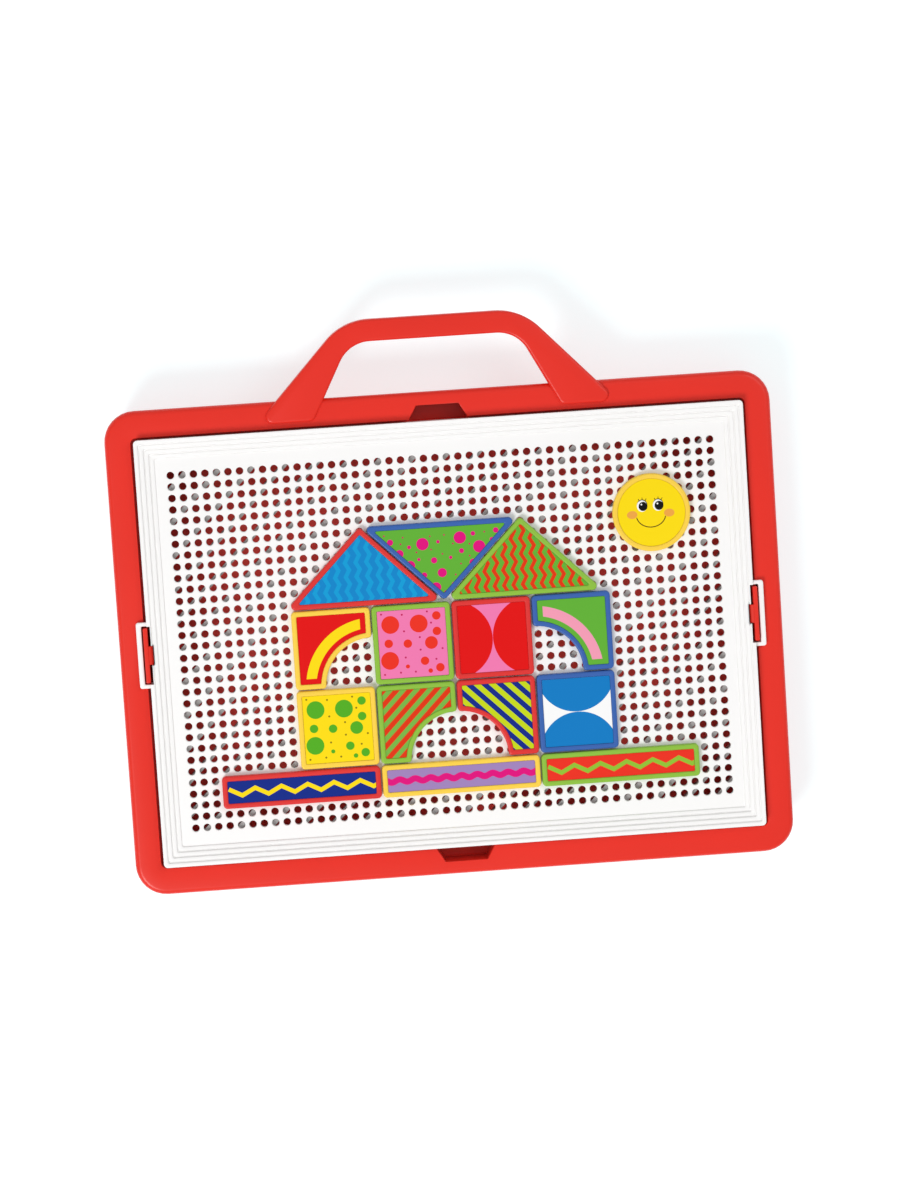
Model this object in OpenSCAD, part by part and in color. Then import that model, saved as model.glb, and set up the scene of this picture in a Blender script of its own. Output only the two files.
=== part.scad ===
// Mosaic pegboard carry case: a red carrying tray, a white perforated board that drops
// into it as a lid, and fifteen patterned tiles whose pegs stand in the board's holes.
// Millimetres, +Z up, +Y towards the handle. The origin is on the ground, under the
// middle of the whole outline.

/* [Peg grid] */
// Distance between neighbouring peg holes
pitch = 5; // [4.9:0.05:5.1]
// Peg holes along the board
cols = 48; // [46:2:50]
// Peg holes across the board
rows = 32; // [32:2:34]
// Diameter of a peg hole
hole_d = 3.3; // [3.2:0.1:3.6]

/* [Board] */
// Board edge to the middle of the first column of holes
margin_x = 15; // [14:0.5:18]
// Board edge to the middle of the first row of holes
margin_y = 16.25; // [15:0.25:18]
// Corner radius of the board
board_r = 1.8; // [1:0.1:4]
// Height of the board from its lower edge to its top edge
board_h = 10; // [9:0.5:12]
// Thickness of the perforated plate
plate_t = 2; // [1.8:0.1:2.4]
// Steps from the board's top edge down to the plate
steps = 4; // [2:1:4]
// Drop of one step
step_h = 0.75; // [0.5:0.05:0.9]
// Width of one step
step_w = 2.2; // [1.6:0.1:2.2]
// Width of the board's top edge, outside the steps
edge_w = 1.85; // [1.5:0.05:2]
// Width of the diagonal ribs under the plate
rib_w = 2.2; // [1:0.1:3]
// Distance between neighbouring ribs
rib_gap = 10; // [8:0.5:14]
// Shift of the ribs off the board's middle
rib_shift = 3.75; // [0:0.25:7]

/* [Case] */
// Width of the rim around the board
rim_w = 12.6; // [12:0.1:16]
// Height of the rim above the ground
rim_z = 30; // [28:1:40]
// Corner radius of the case
case_r = 13.5; // [10:0.5:16]
// Rounding of the rim's outer edge
edge_r = 2.5; // [1.5:0.1:3]
// How far the outer wall leans in at the ground
lean = 3.2; // [2:0.1:4]
// Wall thickness
wall = 2.2; // [1.8:0.1:2.5]
// Width of the ledge that carries the board
ledge_w = 3; // [2.5:0.1:3.5]
// Width of a finger notch at the board's edge
notch_w = 25.5; // [20:0.5:30]
// How far a finger notch cuts into the rim
notch_reach = 6; // [4:0.5:7]
// Depth of a finger notch below the rim
notch_depth = 14; // [10:1:18]

/* [Handle] */
// How far the handle stands out from the case
handle_reach = 33; // [28:1:40]
// Width of the grip bar
grip_w = 9.6; // [9:0.1:14]
// Thickness of the handle
handle_t = 10; // [8:1:14]
// Distance between the middles of the two bends
bend_gap = 55; // [48:1:70]
// Height of the handle's feet above the rim
foot_h = 1.5; // [1:0.1:2]

/* [Snap lugs] */
// Length of a snap lug
lug_l = 24; // [20:1:26]
// Thickness of a snap lug
lug_t = 2; // [1.6:0.1:2.2]
// Width of the lug's nose
nose_l = 8; // [6:1:10]
// Height of a snap lug above the rim
lug_rise = 3.6; // [3:0.1:4]

/* [Tiles] */
// Thickness of a tile without its pegs
tile_h = 3; // [2.5:0.25:5]
// Gap left between neighbouring tiles
tile_gap = 0.7; // [0.4:0.1:1.2]
// Width of a tile's raised border
border_w = 2.2; // [1.8:0.1:3]
// Corner radius of a tile
tile_r = 1.8; // [1:0.1:2.5]
// Diameter of a peg
peg_d = 3.1; // [3:0.05:3.1]
// Depth of the recess for the printed inlay
inlay_drop = 0.8; // [0.6:0.1:1]
// Thickness of a printed inlay
inlay_t = 0.5; // [0.3:0.1:0.6]

/* [Hidden] */

case_red = "#e23a30";
board_white = "#f7f5f2";
tile_red = "#df3f3f";
tile_blue = "#3f68b0";
tile_green = "#8fc045";
tile_yellow = "#fbd24e";

tiny = 0.01;
board_l = (cols - 1) * pitch + 2 * margin_x;
board_w = (rows - 1) * pitch + 2 * margin_y;
case_l = board_l + 2 * rim_w;
case_w = board_w + 2 * rim_w;
// The handle sticks out on one side, so the case lies off the middle of the outline.
case_y = -handle_reach / 2;

// Heights, from the ledge up
board_top_z = rim_z + 4;
ledge_z = board_top_z - board_h;
field_z = board_top_z - steps * step_h;
plate_z = field_z - plate_t;
shelf_w = 4;
plate_gap = 0.1;
inner_r = 1;

// Room for the board inside the rim
pocket_gap = 0.8;
pocket_l = board_l + 2 * pocket_gap;
pocket_w = board_w + 2 * pocket_gap;
tub_l = pocket_l - 2 * ledge_w;
tub_w = pocket_w - 2 * ledge_w;
tub_r = 4;
notch_taper = 3.5;
notch_z = rim_z - notch_depth;

// Snap lugs: a lug stands in a slot of the rim, inside a loop of the board.
lug_slot_end = 0.5;
lug_slot_side = 0.7;
lug_in_x = board_l / 2 - 0.2;
lug_z = rim_z - 16;
nose_reach = 1.8;
nose_gap = 0.3;
recess_x = board_l / 2 - 1.4;
loop_bar = 2.3;
loop_arm = 1.75;
loop_t = 2;
loop_z = rim_z + 0.3;
loop_in_x = lug_in_x + lug_t + 0.6;
loop_in_l = lug_l + 1.5;

// Handle bends
bend_out_r = 26;
bend_in_r = 15;
foot_out_x = 71.5;
foot_in_x = 54.5;
foot_y = case_w / 2 - 9.6;
foot_r = 3.2;

// Tiles stand on a lattice of seven holes.
tile_lift = 0.15;
tile_size = 7 * pitch - tile_gap;
bar_l = 14 * pitch - tile_gap;
bar_w = 3 * pitch - tile_gap;
disc_r = 17;
arch_cut_r = 21;
peg_len = plate_t - 0.1;
shell_t = 1.4;
web_t = 1;

// Peg places of each tile shape, counted in holes from the tile's middle
square_pegs = [[-2, -2], [2, -2], [-2, 2], [2, 2]];
bar_pegs = [[-5.5, 0], [-1.5, 0], [1.5, 0], [5.5, 0]];
disc_pegs = [[-1.5, -2], [1.5, -2], [-1.5, 2], [1.5, 2]];
triangle_pegs = [[-3, -2], [3, -2], [0, 1]];

function hole_x(col) = (col - (cols - 1) / 2) * pitch;
function hole_y(row) = ((rows - 1) / 2 - row) * pitch + case_y;
function flipped(points) = [for (p = points) [p[0], -p[1]]];
function without_corner(points, x, y) = [for (p = points) if (sign(p[0]) != x || sign(p[1]) != y) p];

// Rectangle with round corners, as true arcs
module rounded_rect(l, w, r) {
  square([l - 2 * r, w], center = true);
  square([l, w - 2 * r], center = true);
  for (x = [-1, 1], y = [-1, 1])
    translate([x * (l / 2 - r), y * (w / 2 - r)]) circle(r = r, $fn = 32);
}

module board_outline(inset) {
  rounded_rect(board_l - 2 * inset, board_w - 2 * inset, inset > 0 ? inner_r : board_r);
}

module slab(z, height) {
  translate([0, case_y, z]) linear_extrude(height = height) children();
}

module both_ends() {
  for (side = [0, 1]) mirror([side, 0, 0]) children();
}

// Outer shape of the case: leaning walls and a rounded rim edge
module case_form() {
  hull() {
    slab(0, tiny) rounded_rect(case_l - 2 * lean, case_w - 2 * lean, case_r - lean);
    for (a = [0 : 22.5 : 90])
      slab(rim_z - edge_r + edge_r * sin(a) - tiny, tiny)
        rounded_rect(case_l - 2 * edge_r * (1 - cos(a)), case_w - 2 * edge_r * (1 - cos(a)),
                     case_r - edge_r * (1 - cos(a)));
  }
}

module notch_shape(grow) {
  near = notch_w / 2 + grow;
  far = near - notch_taper;
  edge = pocket_w / 2;
  polygon([[-near, edge - ledge_w - tiny], [near, edge - ledge_w - tiny], [near, edge],
           [far, edge + notch_reach + grow], [-far, edge + notch_reach + grow], [-near, edge]]);
}

module both_notches(grow) {
  for (side = [0, 1]) mirror([0, side]) notch_shape(grow);
}

module lug_slot_shape(grow) {
  x0 = lug_in_x - 0.4 - grow;
  x1 = lug_in_x + lug_t + lug_slot_side + grow;
  half = lug_l / 2 + lug_slot_end + grow;
  for (side = [0, 1]) mirror([side, 0]) translate([x0, -half]) square([x1 - x0, 2 * half]);
}

// Open channel under the rim, between the outer wall and the tub
module rim_channel() {
  difference() {
    hull() {
      slab(-1, tiny)
        rounded_rect(case_l - 2 * (lean + wall), case_w - 2 * (lean + wall), case_r - lean - wall);
      slab(rim_z - wall, tiny) rounded_rect(case_l - 2 * wall, case_w - 2 * wall, case_r - wall);
    }
    slab(-2, rim_z + 2) rounded_rect(tub_l + 2 * wall, tub_w + 2 * wall, tub_r + wall);
    slab(ledge_z - wall, rim_z) rounded_rect(pocket_l + 2 * wall, pocket_w + 2 * wall, board_r + wall);
    slab(notch_z - wall, rim_z) both_notches(wall);
    slab(lug_z - wall, rim_z) lug_slot_shape(wall);
  }
}

module case_tray() {
  color(case_red) difference() {
    case_form();
    rim_channel();
    slab(wall, rim_z) rounded_rect(tub_l, tub_w, tub_r);
    slab(ledge_z, rim_z) rounded_rect(pocket_l, pocket_w, board_r + pocket_gap);
    slab(notch_z, rim_z) both_notches(0);
    slab(lug_z, rim_z) lug_slot_shape(0);
  }
}

module handle_shape() {
  top = case_w / 2 + handle_reach;
  offset(r = foot_r, $fn = 32) offset(delta = -foot_r) difference() {
    intersection() {
      hull() for (x = [-1, 1]) {
        translate([x * bend_gap / 2, top - bend_out_r]) circle(r = bend_out_r, $fn = 96);
        translate([x * foot_out_x, foot_y + foot_r]) circle(r = foot_r, $fn = 32);
      }
      translate([-case_l / 2, foot_y]) square([case_l, top - foot_y]);
    }
    hull() for (x = [-1, 1]) {
      translate([x * bend_gap / 2, top - grip_w - bend_in_r]) circle(r = bend_in_r, $fn = 96);
      translate([x * foot_in_x, foot_y - 1]) square(tiny, center = true);
    }
  }
}

// The grip stands out beside the rim, and its feet lie on top of the rim.
module carry_handle() {
  color(case_red) {
    slab(rim_z, foot_h) handle_shape();
    slab(rim_z + foot_h - handle_t, handle_t) intersection() {
      handle_shape();
      translate([-case_l / 2, case_w / 2]) square([case_l, 2 * handle_reach]);
    }
  }
}

module snap_lug() {
  top = rim_z + lug_rise;
  color(case_red) {
    translate([lug_in_x, case_y - lug_l / 2, lug_z]) cube([lug_t, lug_l, top - lug_z]);
    translate([0, case_y + nose_l / 2, 0]) rotate([90, 0, 0]) linear_extrude(height = nose_l)
      polygon([[lug_in_x + tiny, top], [lug_in_x - nose_reach, top - 0.8],
               [lug_in_x - nose_reach, top - 1.6], [lug_in_x + tiny, top - 2.6]]);
  }
}

module snap_lug_left() {
  mirror([1, 0, 0]) snap_lug();
}

module snap_lug_right() {
  snap_lug();
}

// Loop of the board that surrounds a snap lug
module loop_shape() {
  x0 = board_l / 2 - 2;
  x1 = loop_in_x + loop_bar;
  length = loop_in_l + 2 * loop_arm;
  difference() {
    translate([(x0 + x1) / 2, 0]) rounded_rect(x1 - x0, length, 1);
    translate([loop_in_x / 2, 0]) square([loop_in_x, loop_in_l], center = true);
  }
}

module diagonal_ribs() {
  count = ceil((board_l + board_w) / (2 * sqrt(2) * rib_gap));
  slab(ledge_z, plate_z - ledge_z) intersection() {
    board_outline(shelf_w - 0.1);
    for (n = [-count : count])
      rotate(45) translate([0, n * rib_gap + rib_shift]) square([2 * board_l, rib_w], center = true);
  }
}

module board_frame() {
  color(board_white) difference() {
    union() {
      difference() {
        slab(ledge_z, board_h) board_outline(0);
        slab(ledge_z - 1, field_z - ledge_z + 1) board_outline(shelf_w);
        for (k = [1 : steps])
          slab(field_z + (steps - k) * step_h - tiny, board_h) board_outline(edge_w + (k - 1) * step_w);
      }
      diagonal_ribs();
      both_ends() slab(loop_z, loop_t) loop_shape();
    }
    both_ends() slab(ledge_z - 1, board_h + 2) {
      translate([recess_x, -loop_in_l / 2]) square([loop_in_x - recess_x, loop_in_l]);
      translate([lug_in_x - nose_reach - nose_gap, -nose_l / 2 - nose_gap])
        square([loop_in_x - lug_in_x, nose_l + 2 * nose_gap]);
    }
  }
}

module peg_plate() {
  color(board_white) slab(plate_z, plate_t) difference() {
    board_outline(shelf_w + plate_gap);
    for (col = [0 : cols - 1], row = [0 : rows - 1])
      translate([hole_x(col), hole_y(row) - case_y]) circle(d = hole_d, $fn = 24);
  }
}

// Outlines of the tiles, sharp, around each tile's middle
module tile_outline(shape) {
  half = tile_size / 2;
  if (shape == "square") square(tile_size, center = true);
  if (shape == "bar") square([bar_l, bar_w], center = true);
  if (shape == "disc") circle(r = disc_r, $fn = 96);
  if (shape == "peak") polygon([[-2 * half, -half], [2 * half, -half], [0, half]]);
  if (shape == "valley") polygon([[-2 * half, half], [2 * half, half], [0, -half]]);
  if (shape == "arch_right")
    difference() {
      square(tile_size, center = true);
      translate([half, -half]) circle(r = arch_cut_r, $fn = 96);
    }
  if (shape == "arch_left") mirror([1, 0]) tile_outline("arch_right");
}

// Outline set in by a distance, with its corners rounded
module tile_inset(shape, inset, r) {
  offset(r = r, $fn = 32) offset(delta = -inset - r) tile_outline(shape);
}

function tile_pegs(shape) =
  shape == "bar" ? bar_pegs :
  shape == "disc" ? disc_pegs :
  shape == "peak" ? triangle_pegs :
  shape == "valley" ? flipped(triangle_pegs) :
  shape == "arch_right" ? without_corner(square_pegs, 1, -1) :
  shape == "arch_left" ? without_corner(square_pegs, -1, -1) :
  square_pegs;

module on_hole(col, row) {
  translate([hole_x(col), hole_y(row), field_z + tile_lift]) children();
}

// Moulded tile: raised border, recess for the inlay, hollow underside and pegs
module tile_body(shape, col, row) {
  floor_z = tile_h - inlay_drop;
  on_hole(col, row) {
    difference() {
      linear_extrude(height = tile_h) tile_inset(shape, 0, tile_r);
      translate([0, 0, floor_z]) linear_extrude(height = tile_h) tile_inset(shape, border_w, 0.6);
      translate([0, 0, -1]) linear_extrude(height = floor_z - web_t + 1) tile_inset(shape, shell_t, 0.4);
    }
    for (p = tile_pegs(shape))
      translate([p[0] * pitch, p[1] * pitch, -tile_lift - peg_len])
        cylinder(d = peg_d, h = floor_z - web_t + tile_lift + peg_len + 0.2, $fn = 24);
  }
}

// Printed card that lies in a tile's recess
module tile_print(shape, col, row) {
  on_hole(col, row) translate([0, 0, tile_h - inlay_drop])
    linear_extrude(height = inlay_t) tile_inset(shape, border_w + 0.1, 0.5);
}

module sun_tile() { color(tile_yellow) tile_body("disc", 41.5, 6); }
module sun_print() { color("#fddc08") tile_print("disc", 41.5, 6); }
module zigzag_triangle_tile() { color(tile_red) tile_body("peak", 16, 9); }
module zigzag_triangle_print() { color("#0a86cc") tile_print("peak", 16, 9); }
module dotted_triangle_tile() { color(tile_blue) tile_body("valley", 23, 9); }
module dotted_triangle_print() { color("#5fb444") tile_print("valley", 23, 9); }
module wavy_triangle_tile() { color(tile_green) tile_body("peak", 30, 9); }
module wavy_triangle_print() { color("#6cb044") tile_print("peak", 30, 9); }
module yellow_arch_tile() { color(tile_yellow) tile_body("arch_right", 13, 16); }
module yellow_arch_print() { color("#e32227") tile_print("arch_right", 13, 16); }
module pink_dot_tile() { color(tile_green) tile_body("square", 20, 16); }
module pink_dot_print() { color("#f27fb2") tile_print("square", 20, 16); }
module red_disc_tile() { color(tile_red) tile_body("square", 27, 16); }
module red_disc_print() { color("#e32227") tile_print("square", 27, 16); }
module blue_arch_tile() { color(tile_blue) tile_body("arch_left", 34, 16); }
module blue_arch_print() { color("#69b544") tile_print("arch_left", 34, 16); }
module yellow_dot_tile() { color(tile_yellow) tile_body("square", 13, 23); }
module yellow_dot_print() { color("#fbe003") tile_print("square", 13, 23); }
module green_stripe_tile() { color(tile_green) tile_body("arch_right", 20, 23); }
module green_stripe_print() { color("#7fb851") tile_print("arch_right", 20, 23); }
module red_stripe_tile() { color(tile_red) tile_body("arch_left", 27, 23); }
module red_stripe_print() { color("#c8da2b") tile_print("arch_left", 27, 23); }
module blue_disc_tile() { color(tile_blue) tile_body("square", 34, 23); }
module blue_disc_print() { color("#1280c6") tile_print("square", 34, 23); }
module red_bar_tile() { color(tile_red) tile_body("bar", 9.5, 28); }
module red_bar_print() { color("#253a8d") tile_print("bar", 9.5, 28); }
module yellow_bar_tile() { color(tile_yellow) tile_body("bar", 23.5, 28); }
module yellow_bar_print() { color("#a488be") tile_print("bar", 23.5, 28); }
module green_bar_tile() { color(tile_green) tile_body("bar", 37.5, 28); }
module green_bar_print() { color("#ee3d33") tile_print("bar", 37.5, 28); }

case_tray();
carry_handle();
snap_lug_left();
snap_lug_right();
board_frame();
peg_plate();
sun_tile();
sun_print();
zigzag_triangle_tile();
zigzag_triangle_print();
dotted_triangle_tile();
dotted_triangle_print();
wavy_triangle_tile();
wavy_triangle_print();
yellow_arch_tile();
yellow_arch_print();
pink_dot_tile();
pink_dot_print();
red_disc_tile();
red_disc_print();
blue_arch_tile();
blue_arch_print();
yellow_dot_tile();
yellow_dot_print();
green_stripe_tile();
green_stripe_print();
red_stripe_tile();
red_stripe_print();
blue_disc_tile();
blue_disc_print();
red_bar_tile();
red_bar_print();
yellow_bar_tile();
yellow_bar_print();
green_bar_tile();
green_bar_print();
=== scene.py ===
"""Looks of the mosaic pegboard case: a red carrying tray, a white perforated board and
fifteen patterned tiles. Metres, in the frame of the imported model."""

import math

import bmesh
import bpy
from mathutils import Matrix, Vector
from mathutils.geometry import delaunay_2d_cdt


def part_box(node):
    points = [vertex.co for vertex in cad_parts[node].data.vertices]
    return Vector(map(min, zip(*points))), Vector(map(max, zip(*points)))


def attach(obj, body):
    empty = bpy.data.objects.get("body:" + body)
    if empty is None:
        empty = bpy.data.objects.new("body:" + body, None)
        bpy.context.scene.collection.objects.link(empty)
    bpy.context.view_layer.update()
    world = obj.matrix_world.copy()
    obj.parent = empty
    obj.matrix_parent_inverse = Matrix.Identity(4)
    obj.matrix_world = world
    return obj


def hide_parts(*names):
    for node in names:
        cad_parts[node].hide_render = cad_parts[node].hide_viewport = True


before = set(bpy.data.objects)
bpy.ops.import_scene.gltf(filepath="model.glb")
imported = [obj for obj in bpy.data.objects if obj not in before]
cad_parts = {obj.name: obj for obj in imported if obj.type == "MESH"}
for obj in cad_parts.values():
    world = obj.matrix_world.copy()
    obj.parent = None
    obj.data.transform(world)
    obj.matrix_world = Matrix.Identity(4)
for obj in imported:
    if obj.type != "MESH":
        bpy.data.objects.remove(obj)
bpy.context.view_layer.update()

MM = 0.001
CORNER_STEPS = 8
PITCH = 5 * MM
HOLE_R = 1.65 * MM


# ---------------------------------------------------------------- colours

LIGHT_LEVEL = 1.06
GLOSS_LIFT = 0.018


def colour(red, green, blue):
    """Base colour that shows on screen as these 0 to 255 values under the studio light."""
    def base(v):
        v = v / 255
        linear = v / 12.92 if v <= 0.04045 else ((v + 0.055) / 1.055) ** 2.4
        return max(0.003, (linear - GLOSS_LIFT) / LIGHT_LEVEL)
    return (base(red), base(green), base(blue), 1.0)


CASE_RED = colour(233, 58, 48)
# Brighter red than the case's own: painted light on the tub's floor and walls, so that what shows
# through the holes looks lit.
TUB_PAINTED_LIGHT_COLOUR = (0.9, 0.07, 0.055, 1.0)
BOARD_WHITE = colour(252, 251, 250)
# Dark grey copy of the board white: painted shade on the ribs under the plate.
RIB_PAINTED_SHADE_COLOUR = (0.36, 0.34, 0.335, 1.0)
TILE_RED = colour(224, 62, 60)
TILE_BLUE = colour(66, 104, 176)
TILE_GREEN = colour(145, 194, 72)
TILE_YELLOW = colour(253, 212, 82)


# ---------------------------------------------------------------- materials

def node(tree, kind, **values):
    made = tree.nodes.new(kind)
    for name, value in values.items():
        if name in made.inputs:
            made.inputs[name].default_value = value
        else:
            setattr(made, name, value)
    return made


# Sockets of the Mix node that carry colours.
COLOUR_A, COLOUR_B, COLOUR_OUT = 6, 7, 2
DRIFT_SCALE = 22
GLOSS_SPREAD = 0.05
GRAIN_DEPTH = 0.05 * MM


def shaded_colour(tree, base, spread, scale):
    """A colour that drifts a little lighter and darker over the surface."""
    place = node(tree, "ShaderNodeTexCoord")
    noise = node(tree, "ShaderNodeTexNoise", Scale=scale, Detail=3.0)
    ramp = node(tree, "ShaderNodeMix", data_type="RGBA")
    tree.links.new(place.outputs["Object"], noise.inputs["Vector"])
    tree.links.new(noise.outputs["Fac"], ramp.inputs["Factor"])
    ramp.inputs[COLOUR_A].default_value = [c * (1 - spread) for c in base[:3]] + [1]
    ramp.inputs[COLOUR_B].default_value = [min(1, c * (1 + spread)) for c in base[:3]] + [1]
    return ramp.outputs[COLOUR_OUT], place


def surface(name, base, rough, spread=0.04, grain=0.08, grain_scale=2600, coat=0.0, shine=0.35):
    """Moulded plastic or ink: drifting colour, fine grain in the gloss and in the surface."""
    material = bpy.data.materials.new(name)
    material.use_nodes = True
    tree = material.node_tree
    shader = tree.nodes["Principled BSDF"]
    tint, place = shaded_colour(tree, base, spread, DRIFT_SCALE)
    tree.links.new(tint, shader.inputs["Base Color"])
    fine = node(tree, "ShaderNodeTexNoise", Scale=grain_scale, Detail=2.0)
    tree.links.new(place.outputs["Object"], fine.inputs["Vector"])
    gloss = node(tree, "ShaderNodeMapRange")
    gloss.inputs["To Min"].default_value = rough - GLOSS_SPREAD
    gloss.inputs["To Max"].default_value = rough + GLOSS_SPREAD
    tree.links.new(fine.outputs["Fac"], gloss.inputs["Value"])
    tree.links.new(gloss.outputs["Result"], shader.inputs["Roughness"])
    bump = node(tree, "ShaderNodeBump", Strength=grain, Distance=GRAIN_DEPTH)
    tree.links.new(fine.outputs["Fac"], bump.inputs["Height"])
    tree.links.new(bump.outputs["Normal"], shader.inputs["Normal"])
    shader.inputs["IOR"].default_value = 1.46
    shader.inputs["Specular IOR Level"].default_value = shine
    shader.inputs["Coat Weight"].default_value = coat
    shader.inputs["Coat Roughness"].default_value = 0.2
    return material


def ink(name, base):
    return surface("ink_" + name, base, 0.45, spread=0.025, grain=0.04, shine=0.15)


case_red = surface("case_red_plastic", CASE_RED, 0.34, spread=0.05, grain=0.12, coat=0.05)
tub_painted_light = surface("tub_painted_light_plastic", TUB_PAINTED_LIGHT_COLOUR, 0.45, spread=0.05, grain=0.12)
board_white = surface("board_white_plastic", BOARD_WHITE, 0.4, spread=0.015, grain=0.1)
rib_painted_shade = surface("rib_painted_shade_plastic", RIB_PAINTED_SHADE_COLOUR, 0.5, spread=0.03, grain=0.1)
TILE_PLASTIC = {
    "tile_red": surface("tile_red_plastic", TILE_RED, 0.36, grain=0.1),
    "tile_blue": surface("tile_blue_plastic", TILE_BLUE, 0.36, grain=0.1),
    "tile_green": surface("tile_green_plastic", TILE_GREEN, 0.36, grain=0.1),
    "tile_yellow": surface("tile_yellow_plastic", TILE_YELLOW, 0.36, grain=0.1),
}
INK = {
    "red": ink("red", colour(228, 34, 38)),
    "orange": ink("orange", colour(226, 66, 30)),
    "scarlet": ink("scarlet", colour(238, 62, 50)),
    "pink": ink("pink", colour(243, 128, 180)),
    "pale_pink": ink("pale_pink", colour(245, 160, 184)),
    "magenta": ink("magenta", colour(226, 20, 130)),
    "wine": ink("wine", colour(196, 50, 96)),
    "yellow": ink("yellow", colour(253, 222, 8)),
    "lime": ink("lime", colour(200, 218, 44)),
    "olive": ink("olive", colour(140, 122, 12)),
    "green": ink("green", colour(104, 180, 66)),
    "leaf": ink("leaf", colour(124, 184, 80)),
    "apple": ink("apple", colour(148, 196, 66)),
    "dot_green": ink("dot_green", colour(90, 176, 50)),
    "cyan": ink("cyan", colour(4, 160, 216)),
    "blue": ink("blue", colour(16, 128, 198)),
    "deep_blue": ink("deep_blue", colour(6, 138, 204)),
    "navy": ink("navy", colour(38, 56, 140)),
    "lilac": ink("lilac", colour(164, 136, 190)),
    "white": ink("white", colour(250, 250, 250)),
    "black": ink("black", colour(24, 20, 20)),
    "brown": ink("brown", colour(70, 52, 8)),
    "peach": ink("peach", colour(240, 170, 80)),
}


# ---------------------------------------------------------------- outlines

def arc(cx, cy, r, start, end, steps=CORNER_STEPS):
    """Points on a circle from one angle to another, in degrees."""
    turn = [math.radians(start + (end - start) * k / steps) for k in range(steps + 1)]
    return [(cx + r * math.cos(a), cy + r * math.sin(a)) for a in turn]


def circle(cx, cy, r, steps):
    """Closed outline of a circle."""
    return arc(cx, cy, r, 0, 360, steps)[:-1]


def rectangle(x0, x1, y0, y1):
    return [(x0, y0), (x1, y0), (x1, y1), (x0, y1)]


def moved(points, dx, dy):
    return [(x + dx, y + dy) for x, y in points]


def mirrored(points):
    """Mirror image left to right, in the same turning sense."""
    return [(-x, y) for x, y in reversed(points)]


def inset(points, distance):
    """Closed outline moved inwards by a distance. The outline runs anticlockwise."""
    out = []
    count = len(points)
    for k in range(count):
        here = Vector(points[k])
        before = (here - Vector(points[k - 1])).normalized()
        after = (Vector(points[(k + 1) % count]) - here).normalized()
        normal = Vector((-before.y, before.x)) + Vector((-after.y, after.x))
        normal.normalize()
        lean = max(0.3, normal.dot(Vector((-before.y, before.x))))
        out.append(tuple(here + normal * (distance / lean)))
    return out


def filleted(corners, radius, steps=CORNER_STEPS):
    """Closed outline with each corner rounded. radius is one number, or one for each corner;
    a corner with radius 0 stays one point."""
    radii = radius if isinstance(radius, (list, tuple)) else [radius] * len(corners)
    out = []
    count = len(corners)
    for k in range(count):
        here = Vector(corners[k])
        r = radii[k]
        if r <= 0:
            out.append(tuple(here))
            continue
        back = (Vector(corners[k - 1]) - here).normalized()
        ahead = (Vector(corners[(k + 1) % count]) - here).normalized()
        half = back.angle(ahead) / 2
        reach = r / math.tan(half)
        centre = here + (back + ahead).normalized() * (r / math.sin(half))
        first = here + back * reach - centre
        last = here + ahead * reach - centre
        a0 = math.atan2(first.y, first.x)
        sweep = math.atan2(first.x * last.y - first.y * last.x, first.dot(last))
        for s in range(steps + 1):
            a = a0 + sweep * s / steps
            out.append((centre.x + r * math.cos(a), centre.y + r * math.sin(a)))
    return out


# ---------------------------------------------------------------- meshes

def finished(name, bm, materials, body, slot_name, cad_nodes=(), smooth=35):
    """Turns a bmesh into a piece that rides on a body and stands for CAD nodes."""
    bmesh.ops.remove_doubles(bm, verts=bm.verts, dist=1e-6)
    bmesh.ops.dissolve_degenerate(bm, edges=bm.edges, dist=1e-6)
    bmesh.ops.recalc_face_normals(bm, faces=bm.faces)
    mesh = bpy.data.meshes.new(name)
    bm.to_mesh(mesh)
    bm.free()
    for material in materials:
        mesh.materials.append(material)
    mesh.shade_smooth()
    mesh.set_sharp_from_angle(angle=math.radians(smooth))
    piece = bpy.data.objects.new(name, mesh)
    bpy.context.scene.collection.objects.link(piece)
    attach(piece, body)
    if cad_nodes:
        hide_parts(*cad_nodes)
    return piece


def ring(bm, points, z):
    return [bm.verts.new((x, y, z)) for x, y in points]


def skin(bm, rings):
    """Faces between neighbouring rings of the same number of points."""
    for low, high in zip(rings, rings[1:]):
        count = len(low)
        for k in range(count):
            j = (k + 1) % count
            bm.faces.new((low[k], low[j], high[j], high[k]))


def loft(bm, sections, cap_first=True, cap_last=True):
    """Solid through a list of (outline, height)."""
    rings = [ring(bm, points, z) for points, z in sections]
    skin(bm, rings)
    if cap_first:
        bm.faces.new(list(reversed(rings[0])))
    if cap_last:
        bm.faces.new(rings[-1])


def rounded_slab(bm, outline, low, high, top_r, bottom_r=0.0, steps=4):
    """Extruded outline with its top and bottom edges rounded."""
    sections = []
    if bottom_r > 0:
        for k in range(steps):
            a = math.radians(90 * k / steps)
            back = bottom_r * (1 - math.sin(a))
            sections.append((inset(outline, back), low + bottom_r * (1 - math.cos(a))))
    sections.append((outline, low + bottom_r))
    for k in range(steps + 1):
        a = math.radians(90 * k / steps)
        back = top_r * (1 - math.cos(a))
        sections.append((inset(outline, back), high - top_r * (1 - math.sin(a))))
    loft(bm, sections)


def cylinder(bm, x, y, r, low, high, tip=0.0, steps=24):
    """Upright peg with a rounded lower end."""
    sections = []
    for k in range(3):
        a = math.radians(30 * k)
        back = tip * (1 - math.sin(a))
        sections.append((circle(x, y, r - back, steps), low + tip * (1 - math.cos(a))))
    sections.append((circle(x, y, r, steps), low + tip))
    sections.append((circle(x, y, r, steps), high))
    loft(bm, sections)


# ---------------------------------------------------------------- case

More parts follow.
